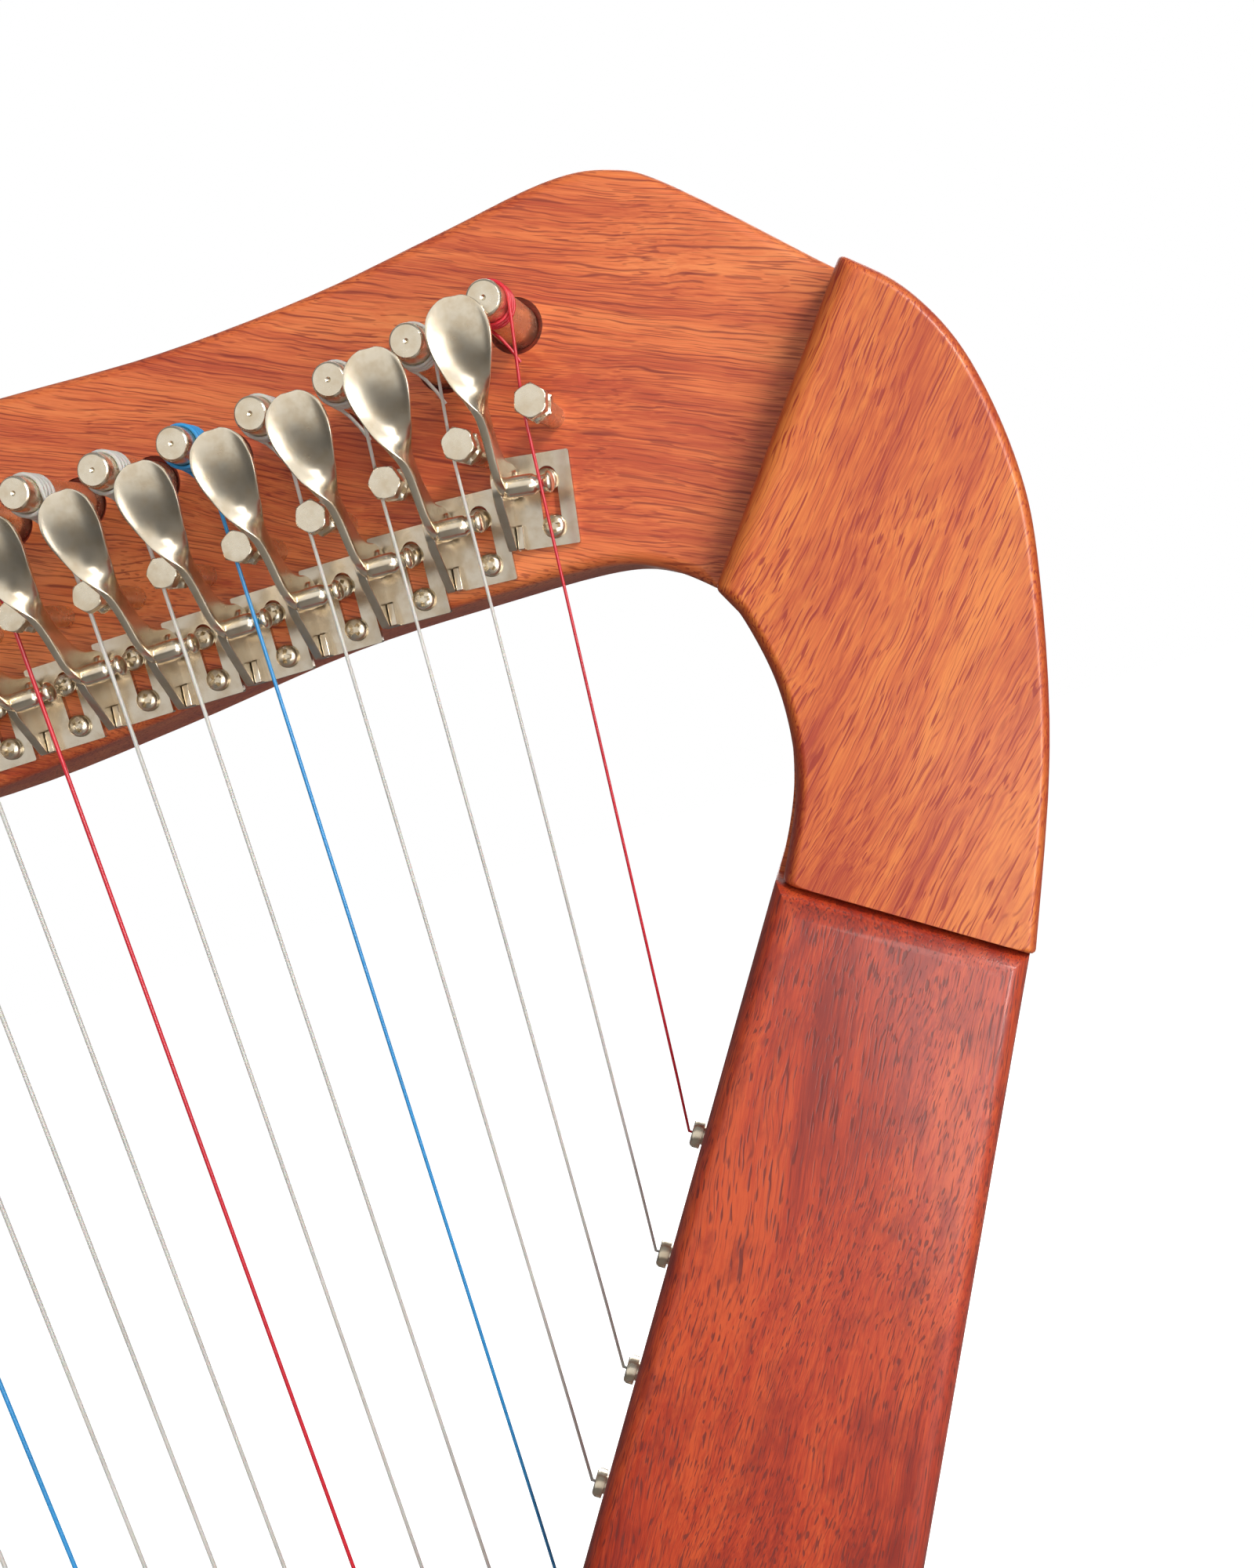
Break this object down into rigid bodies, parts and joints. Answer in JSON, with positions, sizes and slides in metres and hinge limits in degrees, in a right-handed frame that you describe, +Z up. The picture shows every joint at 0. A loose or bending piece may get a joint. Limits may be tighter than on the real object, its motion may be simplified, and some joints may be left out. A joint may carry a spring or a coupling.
{
  "type": "lever harp",
  "caption": "Small lever harp: nylon strings between a leaning soundbox and a curved neck, with a flip lever and a turning tuning pin for each string.",
  "frame": {"origin": "bottom centre of the whole harp's box, on the floor plane, in the plane that halves the neck front to back", "axes": "+X from the pillar towards the soundbox, +Y away from the string side of the neck, +Z up"},
  "size_m": [0.4438, 0.1964, 0.7254],
  "materials": {
    "neck_wood": "satin lacquer over orange-brown stain",
    "shoulder_wood": "satin lacquer over light orange stain",
    "board_wood": "satin lacquer",
    "box_wood": "gloss lacquer over dark red stain",
    "inner_wood": "bare spruce",
    "rubber": "matt",
    "nickel": "satin nickel plate",
    "nickel_lever": "bright satin nickel plate",
    "nylon_red": "dyed nylon",
    "nylon_blue": "dyed nylon",
    "nylon_clear": "clear nylon"
  },
  "bodies": {
    "harp": {"neck": "neck_wood", "shoulder_cheeks": "shoulder_wood", "pillar": "neck_wood", "soundboard": "board_wood", "soundbox_sides": "box_wood", "soundbox_back": "box_wood", "soundbox_frame": "inner_wood", "base": "neck_wood", "rubber_feet": "rubber", "bridge_pins": "nickel", "lever_brackets": "nickel", "lever_screws": "nickel", "string_ferrules": "nickel", "strings_red": "nylon_red", "strings_blue": "nylon_blue", "strings_clear": "nylon_clear"},
    "lever_01": {"lever_01": "nickel_lever"},
    "lever_02": {"lever_02": "nickel_lever"},
    "lever_03": {"lever_03": "nickel_lever"},
    "lever_04": {"lever_04": "nickel_lever"},
    "lever_05": {"lever_05": "nickel_lever"},
    "lever_06": {"lever_06": "nickel_lever"},
    "lever_07": {"lever_07": "nickel_lever"},
    "lever_08": {"lever_08": "nickel_lever"},
    "lever_09": {"lever_09": "nickel_lever"},
    "lever_10": {"lever_10": "nickel_lever"},
    "lever_11": {"lever_11": "nickel_lever"},
    "lever_12": {"lever_12": "nickel_lever"},
    "lever_13": {"lever_13": "nickel_lever"},
    "lever_14": {"lever_14": "nickel_lever"},
    "lever_15": {"lever_15": "nickel_lever"},
    "lever_16": {"lever_16": "nickel_lever"},
    "lever_17": {"lever_17": "nickel_lever"},
    "lever_18": {"lever_18": "nickel_lever"},
    "lever_19": {"lever_19": "nickel_lever"},
    "lever_20": {"lever_20": "nickel_lever"},
    "lever_21": {"lever_21": "nickel_lever"},
    "lever_22": {"lever_22": "nickel_lever"},
    "tuning_pin_01": {"tuning_pin_01": "nickel"},
    "tuning_pin_02": {"tuning_pin_02": "nickel"},
    "tuning_pin_03": {"tuning_pin_03": "nickel"},
    "tuning_pin_04": {"tuning_pin_04": "nickel"},
    "tuning_pin_05": {"tuning_pin_05": "nickel"},
    "tuning_pin_06": {"tuning_pin_06": "nickel"},
    "tuning_pin_07": {"tuning_pin_07": "nickel"},
    "tuning_pin_08": {"tuning_pin_08": "nickel"},
    "tuning_pin_09": {"tuning_pin_09": "nickel"},
    "tuning_pin_10": {"tuning_pin_10": "nickel"},
    "tuning_pin_11": {"tuning_pin_11": "nickel"},
    "tuning_pin_12": {"tuning_pin_12": "nickel"},
    "tuning_pin_13": {"tuning_pin_13": "nickel"},
    "tuning_pin_14": {"tuning_pin_14": "nickel"},
    "tuning_pin_15": {"tuning_pin_15": "nickel"},
    "tuning_pin_16": {"tuning_pin_16": "nickel"},
    "tuning_pin_17": {"tuning_pin_17": "nickel"},
    "tuning_pin_18": {"tuning_pin_18": "nickel"},
    "tuning_pin_19": {"tuning_pin_19": "nickel"},
    "tuning_pin_20": {"tuning_pin_20": "nickel"},
    "tuning_pin_21": {"tuning_pin_21": "nickel"},
    "tuning_pin_22": {"tuning_pin_22": "nickel"}
  },
  "joints": [
    {"name": "lever_01_flip", "type": "hinge", "parent": "harp", "child": "lever_01", "pos_m": [0.15021, -0.0176, 0.6303], "axis": [0.9833, 0, -0.1818], "range_deg": [0, 75]},
    {"name": "lever_02_flip", "type": "hinge", "parent": "harp", "child": "lever_02", "pos_m": [0.13695, -0.0176, 0.62787], "axis": [0.9942, 0, -0.1072], "range_deg": [0, 75]},
    {"name": "lever_03_flip", "type": "hinge", "parent": "harp", "child": "lever_03", "pos_m": [0.12359, -0.0176, 0.62617], "axis": [0.9972, 0, -0.0749], "range_deg": [0, 75]},
    {"name": "lever_04_flip", "type": "hinge", "parent": "harp", "child": "lever_04", "pos_m": [0.11006, -0.0176, 0.62514], "axis": [0.9983, 0, -0.0587], "range_deg": [0, 75]},
    {"name": "lever_05_flip", "type": "hinge", "parent": "harp", "child": "lever_05", "pos_m": [0.09636, -0.0176, 0.62473], "axis": [0.9988, 0, -0.049], "range_deg": [0, 75]},
    {"name": "lever_06_flip", "type": "hinge", "parent": "harp", "child": "lever_06", "pos_m": [0.08249, -0.0176, 0.62489], "axis": [0.9991, 0, -0.0419], "range_deg": [0, 75]},
    {"name": "lever_07_flip", "type": "hinge", "parent": "harp", "child": "lever_07", "pos_m": [0.06843, -0.0176, 0.62556], "axis": [0.9994, 0, -0.036], "range_deg": [0, 75]},
    {"name": "lever_08_flip", "type": "hinge", "parent": "harp", "child": "lever_08", "pos_m": [0.05413, -0.0176, 0.62529], "axis": [0.9995, 0, -0.0309], "range_deg": [0, 75]},
    {"name": "lever_09_flip", "type": "hinge", "parent": "harp", "child": "lever_09", "pos_m": [0.03968, -0.0176, 0.62543], "axis": [0.9997, 0, -0.0262], "range_deg": [0, 75]},
    {"name": "lever_10_flip", "type": "hinge", "parent": "harp", "child": "lever_10", "pos_m": [0.02507, -0.0176, 0.62593], "axis": [0.9998, 0, -0.0219], "range_deg": [0, 75]},
    {"name": "lever_11_flip", "type": "hinge", "parent": "harp", "child": "lever_11", "pos_m": [0.0103, -0.0176, 0.62673], "axis": [0.9998, 0, -0.0178], "range_deg": [0, 75]},
    {"name": "lever_12_flip", "type": "hinge", "parent": "harp", "child": "lever_12", "pos_m": [-0.00462, -0.0176, 0.62777], "axis": [0.9999, 0, -0.0139], "range_deg": [0, 75]},
    {"name": "lever_13_flip", "type": "hinge", "parent": "harp", "child": "lever_13", "pos_m": [-0.01971, -0.0176, 0.62902], "axis": [0.9999, 0, -0.0103], "range_deg": [0, 75]},
    {"name": "lever_14_flip", "type": "hinge", "parent": "harp", "child": "lever_14", "pos_m": [-0.03495, -0.0176, 0.63042], "axis": [1, 0, -0.0068], "range_deg": [0, 75]},
    {"name": "lever_15_flip", "type": "hinge", "parent": "harp", "child": "lever_15", "pos_m": [-0.05035, -0.0176, 0.63191], "axis": [1, 0, -0.0034], "range_deg": [0, 75]},
    {"name": "lever_16_flip", "type": "hinge", "parent": "harp", "child": "lever_16", "pos_m": [-0.06591, -0.0176, 0.63346], "axis": [1, 0, -0.0002], "range_deg": [0, 75]},
    {"name": "lever_17_flip", "type": "hinge", "parent": "harp", "child": "lever_17", "pos_m": [-0.08163, -0.0176, 0.635], "axis": [1, 0, 0.003], "range_deg": [0, 75]},
    {"name": "lever_18_flip", "type": "hinge", "parent": "harp", "child": "lever_18", "pos_m": [-0.0975, -0.0176, 0.63648], "axis": [1, 0, 0.006], "range_deg": [0, 75]},
    {"name": "lever_19_flip", "type": "hinge", "parent": "harp", "child": "lever_19", "pos_m": [-0.11354, -0.0176, 0.63786], "axis": [1, 0, 0.009], "range_deg": [0, 75]},
    {"name": "lever_20_flip", "type": "hinge", "parent": "harp", "child": "lever_20", "pos_m": [-0.12973, -0.0176, 0.63908], "axis": [0.9999, 0, 0.0119], "range_deg": [0, 75]},
    {"name": "lever_21_flip", "type": "hinge", "parent": "harp", "child": "lever_21", "pos_m": [-0.14609, -0.0176, 0.64009], "axis": [0.9999, 0, 0.0147], "range_deg": [0, 75]},
    {"name": "lever_22_flip", "type": "hinge", "parent": "harp", "child": "lever_22", "pos_m": [-0.1626, -0.0176, 0.64084], "axis": [0.9998, 0, 0.0175], "range_deg": [0, 75]},
    {"name": "tuning_pin_01_turn", "type": "hinge", "parent": "harp", "child": "tuning_pin_01", "pos_m": [0.152, 0, 0.6564], "axis": [0, 1, 0], "continuous": true},
    {"name": "tuning_pin_02_turn", "type": "hinge", "parent": "harp", "child": "tuning_pin_02", "pos_m": [0.1383, 0, 0.65449], "axis": [0, 1, 0], "continuous": true},
    {"name": "tuning_pin_03_turn", "type": "hinge", "parent": "harp", "child": "tuning_pin_03", "pos_m": [0.12442, 0, 0.65329], "axis": [0, 1, 0], "continuous": true},
    {"name": "tuning_pin_04_turn", "type": "hinge", "parent": "harp", "child": "tuning_pin_04", "pos_m": [0.11038, 0, 0.65275], "axis": [0, 1, 0], "continuous": true},
    {"name": "tuning_pin_05_turn", "type": "hinge", "parent": "harp", "child": "tuning_pin_05", "pos_m": [0.09616, 0, 0.65282], "axis": [0, 1, 0], "continuous": true},
    {"name": "tuning_pin_06_turn", "type": "hinge", "parent": "harp", "child": "tuning_pin_06", "pos_m": [0.08178, 0, 0.65344], "axis": [0, 1, 0], "continuous": true},
    {"name": "tuning_pin_07_turn", "type": "hinge", "parent": "harp", "child": "tuning_pin_07", "pos_m": [0.06722, 0, 0.65456], "axis": [0, 1, 0], "continuous": true},
    {"name": "tuning_pin_08_turn", "type": "hinge", "parent": "harp", "child": "tuning_pin_08", "pos_m": [0.05249, 0, 0.65614], "axis": [0, 1, 0], "continuous": true},
    {"name": "tuning_pin_09_turn", "type": "hinge", "parent": "harp", "child": "tuning_pin_09", "pos_m": [0.0376, 0, 0.65813], "axis": [0, 1, 0], "continuous": true},
    {"name": "tuning_pin_10_turn", "type": "hinge", "parent": "harp", "child": "tuning_pin_10", "pos_m": [0.02253, 0, 0.66046], "axis": [0, 1, 0], "continuous": true},
    {"name": "tuning_pin_11_turn", "type": "hinge", "parent": "harp", "child": "tuning_pin_11", "pos_m": [0.0073, 0, 0.6631], "axis": [0, 1, 0], "continuous": true},
    {"name": "tuning_pin_12_turn", "type": "hinge", "parent": "harp", "child": "tuning_pin_12", "pos_m": [-0.0081, 0, 0.66599], "axis": [0, 1, 0], "continuous": true},
    {"name": "tuning_pin_13_turn", "type": "hinge", "parent": "harp", "child": "tuning_pin_13", "pos_m": [-0.02368, 0, 0.66907], "axis": [0, 1, 0], "continuous": true},
    {"name": "tuning_pin_14_turn", "type": "hinge", "parent": "harp", "child": "tuning_pin_14", "pos_m": [-0.03943, 0, 0.67231], "axis": [0, 1, 0], "continuous": true},
    {"name": "tuning_pin_15_turn", "type": "hinge", "parent": "harp", "child": "tuning_pin_15", "pos_m": [-0.05534, 0, 0.67564], "axis": [0, 1, 0], "continuous": true},
    {"name": "tuning_pin_16_turn", "type": "hinge", "parent": "harp", "child": "tuning_pin_16", "pos_m": [-0.07143, 0, 0.67901], "axis": [0, 1, 0], "continuous": true},
    {"name": "tuning_pin_17_turn", "type": "hinge", "parent": "harp", "child": "tuning_pin_17", "pos_m": [-0.08768, 0, 0.68238], "axis": [0, 1, 0], "continuous": true},
    {"name": "tuning_pin_18_turn", "type": "hinge", "parent": "harp", "child": "tuning_pin_18", "pos_m": [-0.10411, 0, 0.6857], "axis": [0, 1, 0], "continuous": true},
    {"name": "tuning_pin_19_turn", "type": "hinge", "parent": "harp", "child": "tuning_pin_19", "pos_m": [-0.1207, 0, 0.68891], "axis": [0, 1, 0], "continuous": true},
    {"name": "tuning_pin_20_turn", "type": "hinge", "parent": "harp", "child": "tuning_pin_20", "pos_m": [-0.13747, 0, 0.69196], "axis": [0, 1, 0], "continuous": true},
    {"name": "tuning_pin_21_turn", "type": "hinge", "parent": "harp", "child": "tuning_pin_21", "pos_m": [-0.1544, 0, 0.6948], "axis": [0, 1, 0], "continuous": true},
    {"name": "tuning_pin_22_turn", "type": "hinge", "parent": "harp", "child": "tuning_pin_22", "pos_m": [-0.1715, 0, 0.69738], "axis": [0, 1, 0], "continuous": true}
  ]
}
